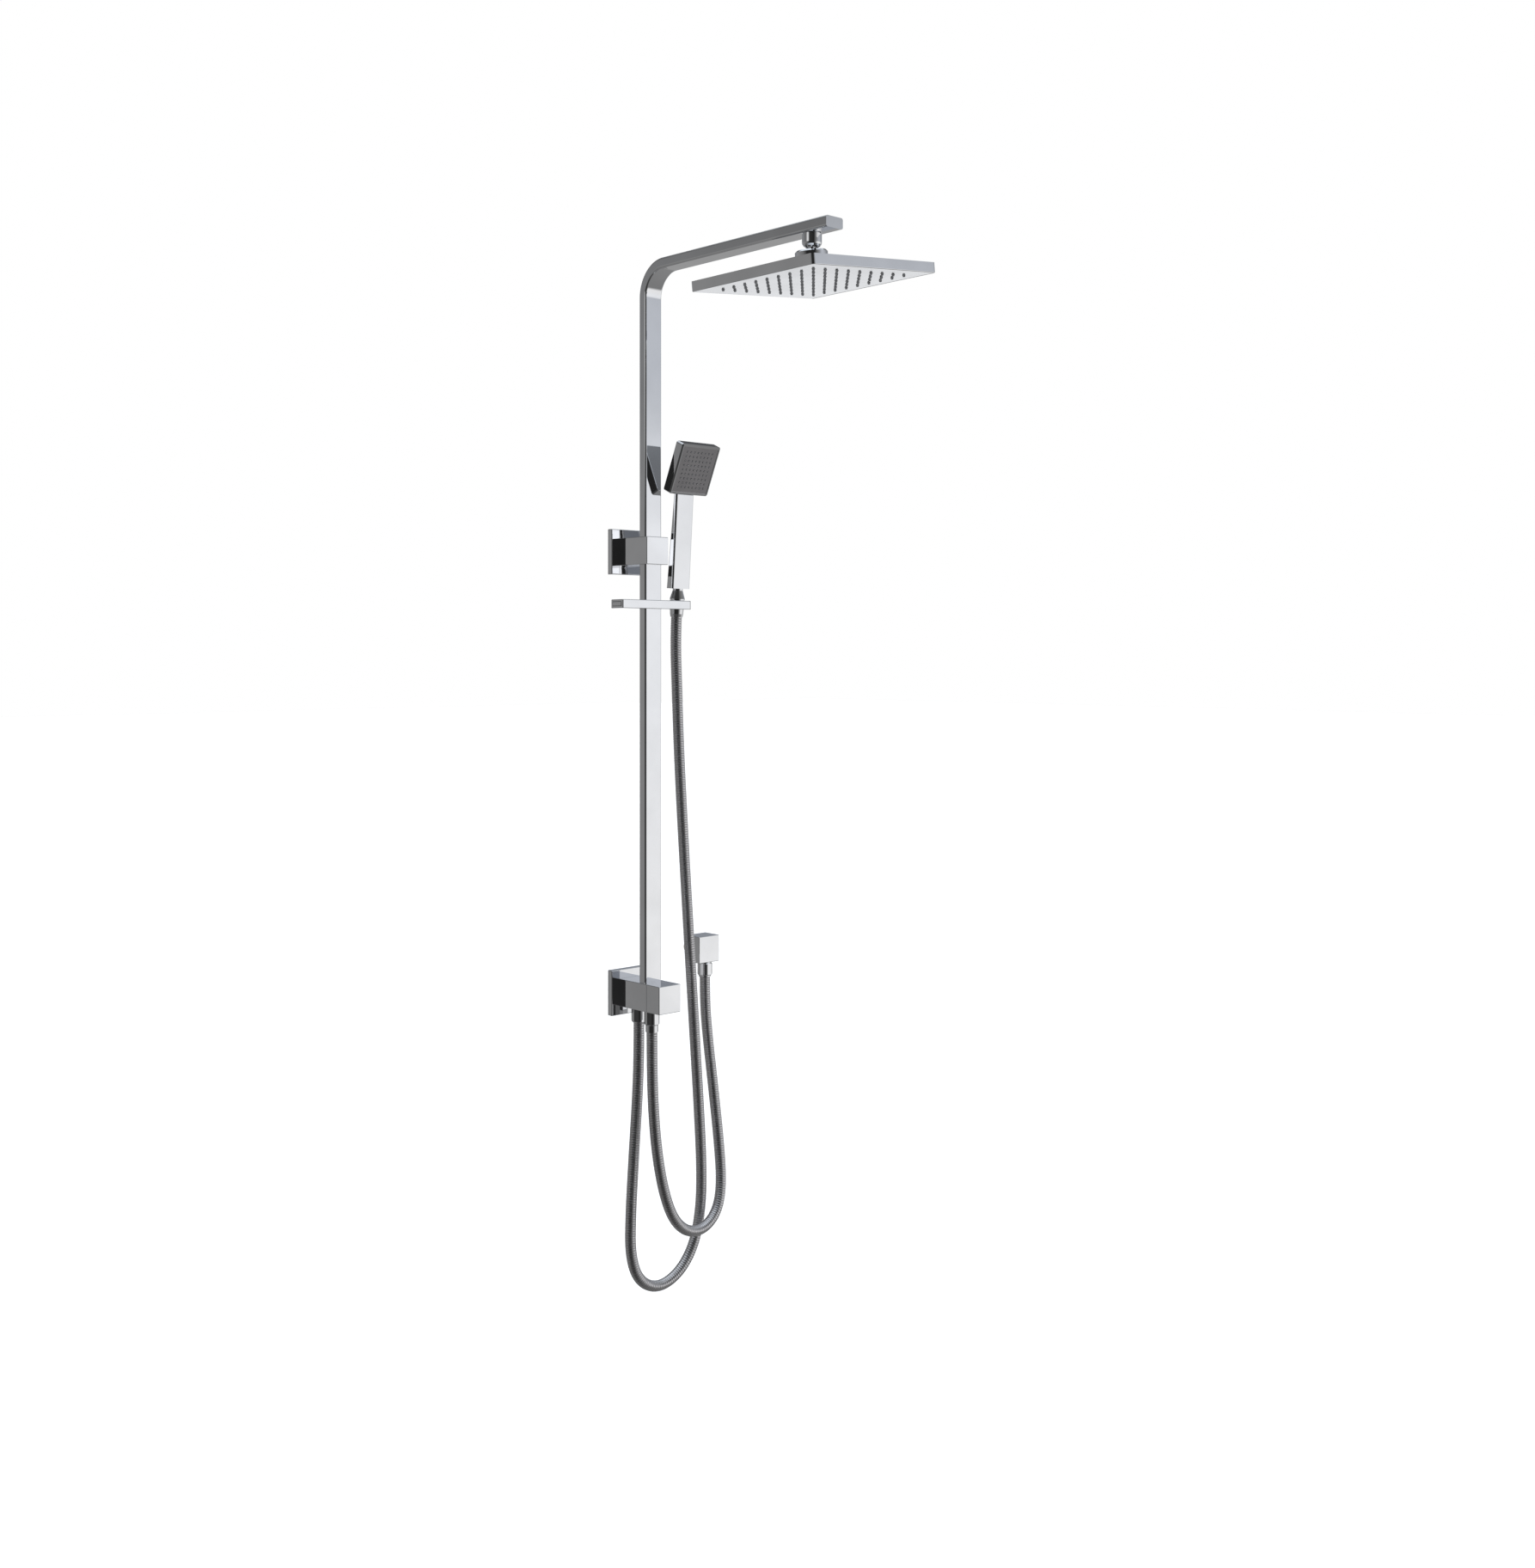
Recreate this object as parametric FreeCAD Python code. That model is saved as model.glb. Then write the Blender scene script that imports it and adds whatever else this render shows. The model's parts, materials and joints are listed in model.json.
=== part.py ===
import FreeCAD, Part
import math
import os

# Wall-hung rainfall shower column in a square style.
# A flat rectangular riser turns into a level arm that carries a square overhead shower on a ball.
# A hand shower sits in a sliding bar on the riser, and a diverter knob sends the water to either.
#
# Units are millimetres. +Z is up, +X runs to the right along the wall, and the wall is the plane
# Y = 0 with the room on its -Y side. The origin is the middle of the lower wall plate's back face.

Vec = FreeCAD.Vector
X_AXIS, Y_AXIS, Z_AXIS = Vec(1, 0, 0), Vec(0, 1, 0), Vec(0, 0, 1)
DOWN = Vec(0, 0, -1)

# ---- Driving dimensions -------------------------------------------------------------------------
RAIL_W, RAIL_D = 27.0, 13.0          # outside of the riser and arm tube, along X and across
RAIL_R, TUBE_WALL = 2.5, 1.5
RAIL_Y = -50.0                       # riser centre line, out from the wall
SEAM_Z = 634.0                       # joint between the lower rail and the upper arm
ARM_Z, ARM_END_Y = 922.2, -377.5
BEND_R = 38.0                        # centre-line radius of the bend
COUPLING_HALF = 22.0

SQ = 35.0                            # square section of blocks, knob and wall outlet
EDGE = 1.0                           # rounding of their edges
PLATE, PLATE_T, PLATE_SKIN = 58.0, 8.0, 1.5
BASE, BASE_T, PEDESTAL, PEDESTAL_END = 52.0, 4.0, 30.0, -15.0
SCREW_HALF, SCREW_R = 21.5, 2.6      # wall screw holes in each wall base
UPPER_Z, UPPER_FRONT_Y = 564.0, -64.3
BODY_FRONT_Y, KNOB_FRONT_Y, KNOB_GAP, SEAM_ROUNDING = -63.4, -88.5, 0.25, 0.25
SOCKET_FLOOR_Z, RAIL_BOTTOM_Z = 4.0, 6.0

BALL_Y, BALL_Z, BALL_R = -341.0, 884.0, 10.0
SEAT_GAP, SEAT_T = 0.3, 2.3          # running gap and thickness of the ball's seat rings
NECK_R, CUP_R, CUP_BOTTOM = 4.5, 11.5, 15.5
HEAD, HEAD_CORNER_R, HEAD_SKIN = 200.0, 4.0, 1.5
HEAD_BOTTOM, HEAD_EDGE_TOP, HEAD_TOP = -24.3, -12.3, 1.0    # heights from the ball centre
HUB_R, HUB_TOP, HUB_BOTTOM = 16.0, 6.0, -15.7
NUT_R, NUT_TOP, NUT_HOLE_R = 19.0, 12.0, 9.5
HEAD_ROLL = -5.84                    # stored tilt about +Y: the +X edge is up
NOZZLES, NOZZLE_PITCH, NOZZLE_HOLE_R = 9, 18.4, 2.3

HAND_PORT_Y, SUPPLY_PORT_Y = -27.0, -53.0
PORT_R, PORT_LENGTH = 8.3, 10.5      # G3/8 male stubs that the hoses screw on
OUTLET_X, OUTLET_Z, OUTLET_D, OUTLET_PORT_Y = 120.0, 42.0, 27.0, -18.0
INLET_R, INLET_ROOT_R, INLET_OUT = 10.45, 9.3, 13.0     # G1/2 stub that enters the wall

BAR_X, BAR_END_X, BAR_END_R = 55.0, 60.5, 8.0
BAR_Z, BAR_H, BAR_FRONT_Y, BAR_BACK_Y = 496.0, 11.0, -63.5, -39.5
HOLDER_X, HOLDER_Y, HOLDER_TILT = 43.0, -51.5, 4.2
BUTTON_W, BUTTON_H, BUTTON_IN = 17.4, 5.4, 19.0
BUTTON_TRAVEL = 3.0
SHOE_W, SHOE_H = 8.0, 5.0

HANDLE_W, HANDLE_START, HANDLE_END = 29.5, 21.5, 149.0      # heights along the holder's axis
HAND_HEAD_W, HAND_HEAD_L, HAND_HEAD_T, HAND_HEAD_TILT = 64.0, 66.4, 14.0, 24.0
HAND_HEAD_CENTRE = Vec(HOLDER_X, -88.0, 666.3)              # middle of its front face
HAND_COLUMNS, HAND_ROWS, HAND_PITCH_X, HAND_PITCH_L = 8, 9, 6.0, 5.8

HOSE_R, HOSE_BORE_R = 7.0, 6.0
RUN_GAP = 0.3                        # clearance between pieces that move on each other
FIT = 0.05                           # clearance between pieces that are fixed together

# Hose routes, from the hand shower to the rear port and from the front port to the wall outlet.
HAND_HOSE_ROUTE = [
    (43.0, -51.06, 490.0), (43.0, -48.35, 453.0), (46.0, -47.6, 394.0), (52.0, -45.6, 292.0),
    (66.0, -41.5, 142.0), (84.0, -35.5, -28.0), (99.0, -30.0, -163.0), (106.5, -27.0, -245.0),
    (106.0, -25.8, -299.0), (95.0, -25.2, -345.0), (69.0, -25.0, -376.0), (33.0, -25.0, -387.0),
    (1.0, -25.0, -370.0), (-13.0, -25.3, -333.0), (-12.5, -25.6, -282.0), (-8.0, -26.2, -210.0),
    (-2.5, -26.8, -135.0), (0.0, -27.0, -78.0), (0.0, HAND_PORT_Y, -30.0)]
SUPPLY_HOSE_ROUTE = [
    (0.0, SUPPLY_PORT_Y, -30.0), (0.0, -53.0, -78.0), (2.0, -52.8, -138.0), (8.5, -52.2, -200.0),
    (20.5, -51.6, -254.0), (38.0, -50.4, -294.0), (64.0, -48.6, -316.0), (94.5, -46.2, -318.5),
    (120.0, -42.7, -302.0), (131.5, -38.8, -269.0), (131.5, -33.0, -212.0), (127.5, -26.0, -140.0),
    (122.0, -19.8, -66.0), (120.0, -18.0, -24.0), (OUTLET_X, OUTLET_PORT_Y, 11.0)]


# ---- Small helpers ------------------------------------------------------------------------------
def box(x0, x1, y0, y1, z0, z1):
    return Part.makeBox(x1 - x0, y1 - y0, z1 - z0, Vec(x0, y0, z0))


def soft_box(x0, x1, y0, y1, z0, z1, radius=EDGE):
    solid = box(x0, x1, y0, y1, z0, z1)
    return solid.makeFillet(radius, solid.Edges)


def cylinder(radius, start, length, axis=Z_AXIS):
    return Part.makeCylinder(radius, length, start, axis)


def rounded_wire(w, d, radius, z):
    """A w by d rectangle with round corners, flat at height z and centred on the Z axis."""
    edges = []
    corners = [(1, 1), (-1, 1), (-1, -1), (1, -1)]
    for i, (sx, sy) in enumerate(corners):
        centre = Vec(sx * (w / 2 - radius), sy * (d / 2 - radius), z)
        turn = math.radians(90 * i)
        points = [centre + Vec(math.cos(turn + a), math.sin(turn + a), 0) * radius
                  for a in (0, math.pi / 4, math.pi / 2)]
        edges.append(Part.Arc(*points).toShape())
    joined = []
    for i, arc in enumerate(edges):
        following = edges[(i + 1) % 4]
        joined.append(arc)
        joined.append(Part.LineSegment(arc.Vertexes[-1].Point, following.Vertexes[0].Point).toShape())
    return Part.Wire(joined)


def rounded_bar(w, d, radius, z0, z1):
    face = Part.Face(rounded_wire(w, d, radius, z0))
    return face.extrude(Vec(0, 0, z1 - z0))


def revolved(profile):
    """Solid of revolution about Z from (radius, height) points."""
    points = [Vec(r, 0, z) for r, z in profile]
    face = Part.Face(Part.makePolygon(points + [points[0]]))
    return face.revolve(Vec(0, 0, 0), Z_AXIS, 360)


def hexagon(flats, z0, z1):
    corner = flats / math.sqrt(3)
    points = [Vec(corner * math.cos(math.radians(60 * i)), corner * math.sin(math.radians(60 * i)), z0)
              for i in range(7)]
    return Part.Face(Part.makePolygon(points)).extrude(Vec(0, 0, z1 - z0))


def moved(shape, x, y, z):
    result = shape.copy()
    result.translate(Vec(x, y, z))
    return result


def on_head(shape):
    """Takes a shape made about the ball centre to its stored, slightly tilted place."""
    result = shape.copy()
    result.rotate(Vec(0, 0, 0), Y_AXIS, HEAD_ROLL)
    result.translate(Vec(0, BALL_Y, BALL_Z))
    return result


def on_holder(shape):
    """Takes a shape made along Z, with height 0 at the bar's middle, to the holder's axis."""
    result = shape.copy()
    result.rotate(Vec(0, 0, 0), X_AXIS, HOLDER_TILT)
    result.translate(Vec(HOLDER_X, HOLDER_Y, BAR_Z))
    return result


def on_hand_head(shape):
    """Local frame of the hand shower's face: X right, +Y into the shell, Z up the face."""
    result = shape.copy()
    result.rotate(Vec(0, 0, 0), X_AXIS, HAND_HEAD_TILT)
    result.translate(HAND_HEAD_CENTRE)
    return result


def grid(columns, rows, pitch_x, pitch_y):
    return [((i - (columns - 1) / 2) * pitch_x, (j - (rows - 1) / 2) * pitch_y)
            for i in range(columns) for j in range(rows)]


def save(name, shape):
    if not shape.isValid() or shape.Volume <= 0:
        raise RuntimeError("bad solid: " + name)
    shape.exportStep("parts/" + name + ".step")
    print(f"{name:22s} solids {len(shape.Solids):3d}  volume {shape.Volume / 1000:9.3f} cm3")


# ---- Riser and arm ------------------------------------------------------------------------------
def bent_bar(w, d, radius, end_y):
    """Bar that rises from the seam, bends to the room and runs level to end_y."""
    bend_z = ARM_Z - BEND_R
    bend_y = RAIL_Y - BEND_R
    section = Part.Face(rounded_wire(w, d, radius, 0))
    section.translate(Vec(0, RAIL_Y, bend_z))
    upright = section.extrude(Vec(0, 0, SEAM_Z - bend_z))
    bend = section.revolve(Vec(0, bend_y, bend_z), X_AXIS, 90)
    turned = section.copy()
    turned.rotate(Vec(0, bend_y, bend_z), X_AXIS, 90)
    level = turned.extrude(Vec(0, end_y - bend_y, 0))
    return upright.fuse([bend, level]).removeSplitter()


def inside(size):
    return size - 2 * TUBE_WALL


def screw_bores():
    """Two grub screw places at the back of the seam."""
    back = RAIL_Y + RAIL_D / 2
    return [Vec(0, back, SEAM_Z + dz) for dz in (-7, 7)]


def make_riser():
    lower = rounded_bar(RAIL_W, RAIL_D, RAIL_R, RAIL_BOTTOM_Z, SEAM_Z)
    lower = lower.cut(rounded_bar(inside(RAIL_W), inside(RAIL_D), 1.2, RAIL_BOTTOM_Z - 1, SEAM_Z + 1))
    lower = moved(lower, 0, RAIL_Y, 0)
    cap_t = 1.5
    tube_end = ARM_END_Y + cap_t
    upper = bent_bar(RAIL_W, RAIL_D, RAIL_R, tube_end)
    upper = upper.cut(bent_bar(inside(RAIL_W), inside(RAIL_D), 1.2, tube_end - 1))
    upper = upper.cut(cylinder(8.0 + FIT, Vec(0, BALL_Y, ARM_Z - RAIL_D), RAIL_D))
    for place in screw_bores():
        bore = cylinder(2.0 + FIT, place + Vec(0, 1, 0), 4, -Y_AXIS)
        lower = lower.cut(bore)
        upper = upper.cut(bore)
    save("lower_rail", lower)
    save("upper_arm", upper)

    end_face = rounded_bar(RAIL_W, RAIL_D, RAIL_R, 0, cap_t)
    spigot = rounded_bar(inside(RAIL_W) - 0.2, inside(RAIL_D) - 0.2, 1.1, cap_t, cap_t + 6)
    cap = end_face.fuse(spigot)
    cap.rotate(Vec(0, 0, 0), X_AXIS, -90)
    save("arm_end_cap", moved(cap, 0, ARM_END_Y, ARM_Z))


def make_coupling():
    w, d = inside(RAIL_W) - 2 * FIT, inside(RAIL_D) - 2 * FIT
    plug = rounded_bar(w, d, 1.1, SEAM_Z - COUPLING_HALF, SEAM_Z + COUPLING_HALF)
    z0, z1 = SEAM_Z - COUPLING_HALF - 1, SEAM_Z + COUPLING_HALF + 1
    plug = plug.cut(rounded_bar(w - 6, d - 5.4, 1.0, z0, z1))
    rings = []
    for dz in (-14, 14):
        z0 = SEAM_Z + dz - 1
        groove = rounded_bar(w + 1, d + 1, 1.6, z0, z0 + 2).cut(rounded_bar(w - 2, d - 2, 0.6, z0, z0 + 2))
        plug = plug.cut(groove)
        ring = rounded_bar(w, d, 1.1, z0 + 0.1, z0 + 1.9)
        ring = ring.cut(rounded_bar(w - 1.9, d - 1.9, 0.6, z0, z0 + 2))
        rings.append(moved(ring, 0, RAIL_Y, 0))
    plug = moved(plug, 0, RAIL_Y, 0)
    screws = []
    for place in screw_bores():
        plug = plug.cut(cylinder(2.0 + FIT, place, 3.4, -Y_AXIS))
        screw = cylinder(2.0, place + Vec(0, -0.3, 0), 3.0, -Y_AXIS)
        socket = hexagon(1.9, -0.1, 1.2)
        socket.rotate(Vec(0, 0, 0), X_AXIS, 90)
        screws.append(screw.cut(moved(socket, 0, place.y - 0.3, place.z)))
    save("rail_coupling", plug)
    save("coupling_seals", Part.makeCompound(rings))
    save("coupling_screws", Part.makeCompound(screws))


def make_arm_outlet():
    under = ARM_Z - RAIL_D / 2 - BALL_Z
    insert = revolved([(6.0 + FIT, under), (8.0, under), (8.0, under + 9.5), (4.0, under + 9.5),
                       (4.0, under + 7.8), (6.0 + FIT, under + 7.8)])
    save("arm_insert", moved(insert, 0, BALL_Y, BALL_Z))
    sieve = cylinder(5.9, Vec(0, 0, under + 6.7), 1.0)
    for i in range(6):
        turn = math.radians(60 * i)
        sieve = sieve.cut(cylinder(1.0, Vec(3.2 * math.cos(turn), 3.2 * math.sin(turn), under + 6), 3))
    sieve = sieve.cut(cylinder(1.0, Vec(0, 0, under + 6), 3))
    save("inlet_filter", moved(sieve, 0, BALL_Y, BALL_Z))

    nut = revolved([(0, CUP_BOTTOM), (7.2, CUP_BOTTOM), (9.5, CUP_BOTTOM + 1.2),
                    (10.9, CUP_BOTTOM + 3.0), (CUP_R, CUP_BOTTOM + 5.2), (CUP_R, under - 0.9),
                    (CUP_R - 0.8, under - 0.1), (0, under - 0.1)])
    ball = Part.makeSphere(BALL_R)
    neck = cylinder(NECK_R, Vec(0, 0, 5), CUP_BOTTOM - 4)
    thread = cylinder(6.0, Vec(0, 0, under - 0.5), 7.0)
    fitting = ball.fuse([neck, nut, thread]).cut(cylinder(2.6, Vec(0, 0, -BALL_R - 1), under + 20))
    save("ball_fitting", moved(fitting, 0, BALL_Y, BALL_Z))


# ---- Overhead shower ----------------------------------------------------------------------------
def seat_zone(z0, z1):
    """Ring between two concentric spheres, cut off at heights z0 and z1."""
    inner = BALL_R + SEAT_GAP
    shell = Part.makeSphere(inner + SEAT_T).cut(Part.makeSphere(inner))
    return shell.common(cylinder(inner + SEAT_T + 1, Vec(0, 0, z0), z1 - z0))


def make_ball_seat():
    save("ball_ring", moved(seat_zone(1.0, 6.5), 0, BALL_Y, BALL_Z))
    save("ball_seal", moved(seat_zone(-8.0, -3.0), 0, BALL_Y, BALL_Z))

    cavity = BALL_R + 2 * SEAT_GAP + SEAT_T
    nut = revolved([(HUB_R + FIT, HEAD_TOP + 0.3), (NUT_R, HEAD_TOP + 0.3), (NUT_R, NUT_TOP - 2.0),
                    (NUT_R - 2.0, NUT_TOP), (NUT_HOLE_R, NUT_TOP), (NUT_HOLE_R, HUB_TOP + 0.2),
                    (HUB_R + FIT, HUB_TOP + 0.2)])
    save("ball_nut", on_head(nut.cut(Part.makeSphere(cavity))))
    return cavity


def frustum(bottom, bottom_r, z0, top, top_r, z1):
    return Part.makeLoft([rounded_wire(bottom, bottom, bottom_r, z0),
                          rounded_wire(top, top, top_r, z1)], True, True)


def make_head(cavity):
    rim = HEAD - 2 * HEAD_SKIN
    flat = 2 * NUT_R + 2
    side = rounded_bar(HEAD, HEAD, HEAD_CORNER_R, HEAD_BOTTOM, HEAD_EDGE_TOP)
    side = side.makeFillet(0.8, [e for e in side.Edges if abs(e.CenterOfMass.z - HEAD_BOTTOM) < 0.01])
    roof = frustum(HEAD, HEAD_CORNER_R, HEAD_EDGE_TOP, flat, 3.0, HEAD_TOP)
    hollow = rounded_bar(rim, rim, HEAD_CORNER_R - HEAD_SKIN, HEAD_BOTTOM - 1, HEAD_EDGE_TOP - HEAD_SKIN)
    attic = frustum(rim, HEAD_CORNER_R - HEAD_SKIN, HEAD_EDGE_TOP - HEAD_SKIN, flat, 3.0,
                    HEAD_TOP - HEAD_SKIN)
    cover = side.fuse(roof).cut(hollow.fuse(attic))
    cover = cover.fuse(cylinder(HUB_R, Vec(0, 0, HUB_BOTTOM), HUB_TOP - HUB_BOTTOM))
    cover = cover.cut([Part.makeSphere(cavity), cylinder(cavity, Vec(0, 0, 0), HUB_TOP + 1),
                       cylinder(3.5, Vec(0, 0, HUB_BOTTOM - 1), 10)])
    save("head_cover", on_head(cover))

    plate_top, mat_top, chamber_top = -22.5, -21.0, -16.1
    chamber_bottom = chamber_top - 1.6
    bosses = [(x, y) for x in (-95.2, 95.2) for y in (-60, 0, 60)] + [(-60, 95.2), (60, 95.2)]
    bosses += [(-60, -95.2), (60, -95.2)]
    holes = grid(NOZZLES, NOZZLES, NOZZLE_PITCH, NOZZLE_PITCH)
    drills = [cylinder(NOZZLE_HOLE_R, Vec(x, y, HEAD_BOTTOM - 1), 4) for x, y in holes]
    size = rim - 0.2
    plate = rounded_bar(size, size, HEAD_CORNER_R - HEAD_SKIN, HEAD_BOTTOM + 0.2, plate_top).cut(drills)
    pillars = [cylinder(2.4, Vec(x, y, plate_top - 0.5), chamber_bottom - plate_top + 0.5)
               for x, y in bosses]
    plate = plate.fuse(pillars)
    plate = plate.cut([cylinder(1.4, Vec(x, y, plate_top + 0.5), 8) for x, y in bosses])
    save("spray_plate", on_head(plate))

    mat = rounded_bar(184, 184, 4, plate_top, mat_top)
    cones = []
    for x, y in holes:
        tip = revolved([(0, HEAD_BOTTOM - 1.8), (1.35, HEAD_BOTTOM - 1.8), (2.1, plate_top),
                        (2.1, plate_top + 0.4), (0, plate_top + 0.4)])
        cones.append(moved(tip, x, y, 0))
    mat = mat.fuse(cones)
    mat = mat.cut([cylinder(0.5, Vec(x, y, HEAD_BOTTOM - 3), 8) for x, y in holes])
    save("nozzle_mat", on_head(mat))

    gasket = rounded_bar(184, 184, 4, mat_top, chamber_bottom)
    gasket = gasket.cut(rounded_bar(176, 176, 3, mat_top - 1, chamber_bottom + 1))
    save("head_gasket", on_head(gasket))
    lid = rounded_bar(size, size, HEAD_CORNER_R - HEAD_SKIN, chamber_bottom, chamber_top)
    lid = lid.cut([cylinder(1.5, Vec(x, y, chamber_bottom - 1), 4) for x, y in bosses])
    lid = lid.cut(cylinder(3.5, Vec(0, 0, chamber_bottom - 1), 4))
    save("head_chamber", on_head(lid))
    screws = []
    for x, y in bosses:
        screw = revolved([(0, plate_top + 1), (1.35, plate_top + 1), (1.35, chamber_top),
                          (2.2, chamber_top), (2.2, chamber_top + 1.2), (0, chamber_top + 1.2)])
        screws.append(on_head(moved(screw, x, y, 0)))
    save("head_screws", Part.makeCompound(screws))


# ---- Wall brackets ------------------------------------------------------------------------------
def wall_base(z):
    base = soft_box(-BASE / 2, BASE / 2, -BASE_T, 0, -BASE / 2, BASE / 2, 0.5)
    half = PEDESTAL / 2
    base = base.fuse(box(-half, half, PEDESTAL_END, -BASE_T + 1, -half, half))
    for x in (-SCREW_HALF, SCREW_HALF):
        base = base.cut(cylinder(SCREW_R, Vec(x, 1, 0), BASE_T + 2, -Y_AXIS))
    return moved(base, 0, 0, z)


def wall_plate(z):
    half = PLATE / 2
    plate = box(-half, half, -PLATE_T, 0, -half, half)
    rounded = [e for e in plate.Edges if not all(abs(v.Point.y) < 0.01 for v in e.Vertexes)]
    plate = plate.makeFillet(EDGE, rounded)
    well = half - PLATE_SKIN
    plate = plate.cut(box(-well, well, -PLATE_T + PLATE_SKIN, 1, -well, well))
    hole = SQ / 2 + FIT
    plate = plate.cut(box(-hole, hole, -PLATE_T - 1, 0, -hole, hole))
    return moved(plate, 0, 0, z)


def block(front_y, z, front_rounding):
    """Square block from the wall base to front_y, recessed at the back for the base's pedestal."""
    half = SQ / 2
    body = box(-half, half, front_y, -BASE_T, -half, half)
    middle_y = (front_y - BASE_T) / 2
    body = body.makeFillet(EDGE, [e for e in body.Edges if abs(e.CenterOfMass.y - middle_y) < 0.01])
    front_edges = [e for e in body.Edges if abs(e.BoundBox.YMax - front_y) < 0.01]
    body = body.makeFillet(front_rounding, front_edges)
    recess = PEDESTAL / 2 + FIT
    body = body.cut(box(-recess, recess, PEDESTAL_END - FIT, 0, -recess, recess))
    body = body.cut(cylinder(1.9 + FIT, Vec(0, -11.5, -half - 1), 4))
    return moved(body, 0, 0, z)


def grub_screw(z):
    screw = cylinder(1.9, Vec(0, -11.5, -SQ / 2 + 0.2), 2.2)
    screw = screw.cut(hexagon_at(0, -11.5, -SQ / 2))
    return moved(screw, 0, 0, z)


def hexagon_at(x, y, z):
    return moved(hexagon(2.0, 0, 1.2), x, y, z)


def make_upper_bracket():
    save("upper_wall_base", wall_base(UPPER_Z))
    save("upper_wall_plate", wall_plate(UPPER_Z))
    liner_t = 0.8
    z0, z1 = UPPER_Z - SQ / 2, UPPER_Z + SQ / 2
    outer_w, outer_d = RAIL_W + 2 * liner_t, RAIL_D + 2 * liner_t
    slot = rounded_bar(outer_w + 2 * FIT, outer_d + 2 * FIT, RAIL_R + liner_t, z0 - 1, z1 + 1)
    save("upper_block", block(UPPER_FRONT_Y, UPPER_Z, 0.8 * EDGE).cut(moved(slot, 0, RAIL_Y, 0)))
    liner = rounded_bar(outer_w, outer_d, RAIL_R + liner_t, z0 + 1, z1 - 1)
    liner = liner.cut(rounded_bar(RAIL_W + 2 * FIT, RAIL_D + 2 * FIT, RAIL_R, z0, z1))
    save("upper_liner", moved(liner, 0, RAIL_Y, 0))
    save("upper_grub_screw", grub_screw(UPPER_Z))


# ---- Lower bracket with the diverter ------------------------------------------------------------
SPIGOT_R, SPIGOT_END = 14.0, -76.0
CARTRIDGE_R, CARTRIDGE_FLOOR = 11.0, -59.5
DISC_R, DISC_T = 10.5, 3.0
STEM_R, FLANGE_R = 5.0, 8.0
WATERWAYS = ((0.0, -7.0), (0.0, 1.5), (8.0, -1.0))         # X and Z of the ways into the discs


def along_y(radius, y0, y1, x=0.0, z=0.0):
    return cylinder(radius, Vec(x, max(y0, y1), z), abs(y1 - y0), -Y_AXIS)


def make_diverter_body():
    body = block(BODY_FRONT_Y, 0, SEAM_ROUNDING)
    body = body.fuse(along_y(SPIGOT_R, BODY_FRONT_Y + 2.3, SPIGOT_END))
    socket = rounded_bar(RAIL_W + 2 * FIT, RAIL_D + 2 * FIT, RAIL_R, SOCKET_FLOOR_Z, SQ)
    (supply_x, supply_z), (rail_x, rail_z), (hand_x, hand_z) = WATERWAYS
    port_hole_r, port_depth = 6.0 + FIT, 7.6
    cuts = [moved(socket, 0, RAIL_Y, 0), along_y(CARTRIDGE_R, SPIGOT_END - 1, CARTRIDGE_FLOOR)]
    for port_y in (HAND_PORT_Y, SUPPLY_PORT_Y):
        cuts.append(cylinder(port_hole_r, Vec(0, port_y, -SQ / 2 - 1), port_depth + 1))
    cuts += [cylinder(3.0, Vec(supply_x, SUPPLY_PORT_Y, -SQ / 2), SQ / 2 + supply_z),
             along_y(2.5, SUPPLY_PORT_Y, CARTRIDGE_FLOOR - 1, supply_x, supply_z),
             cylinder(3.0, Vec(rail_x, RAIL_Y + 1, rail_z), SOCKET_FLOOR_Z),
             along_y(2.2, RAIL_Y + 1, CARTRIDGE_FLOOR - 1, rail_x, rail_z),
             cylinder(3.0, Vec(0, HAND_PORT_Y, -SQ / 2), SQ / 2 + hand_z + 0.5),
             cylinder(2.7, Vec(0, HAND_PORT_Y, hand_z), hand_x + 3, X_AXIS),
             along_y(2.2, HAND_PORT_Y, CARTRIDGE_FLOOR - 1, hand_x, hand_z)]
    save("diverter_body", body.cut(cuts))

    seal = rounded_bar(RAIL_W - 0.4, RAIL_D - 0.4, RAIL_R - 0.2, SOCKET_FLOOR_Z, RAIL_BOTTOM_Z)
    seal = seal.cut(rounded_bar(RAIL_W - 5, RAIL_D - 5, 1.0, SOCKET_FLOOR_Z - 1, RAIL_BOTTOM_Z + 1))
    save("rail_end_seal", moved(seal, 0, RAIL_Y, 0))
    save("lower_wall_base", wall_base(0))
    save("lower_wall_plate", wall_plate(0))
    save("lower_grub_screw", grub_screw(0))


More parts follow.
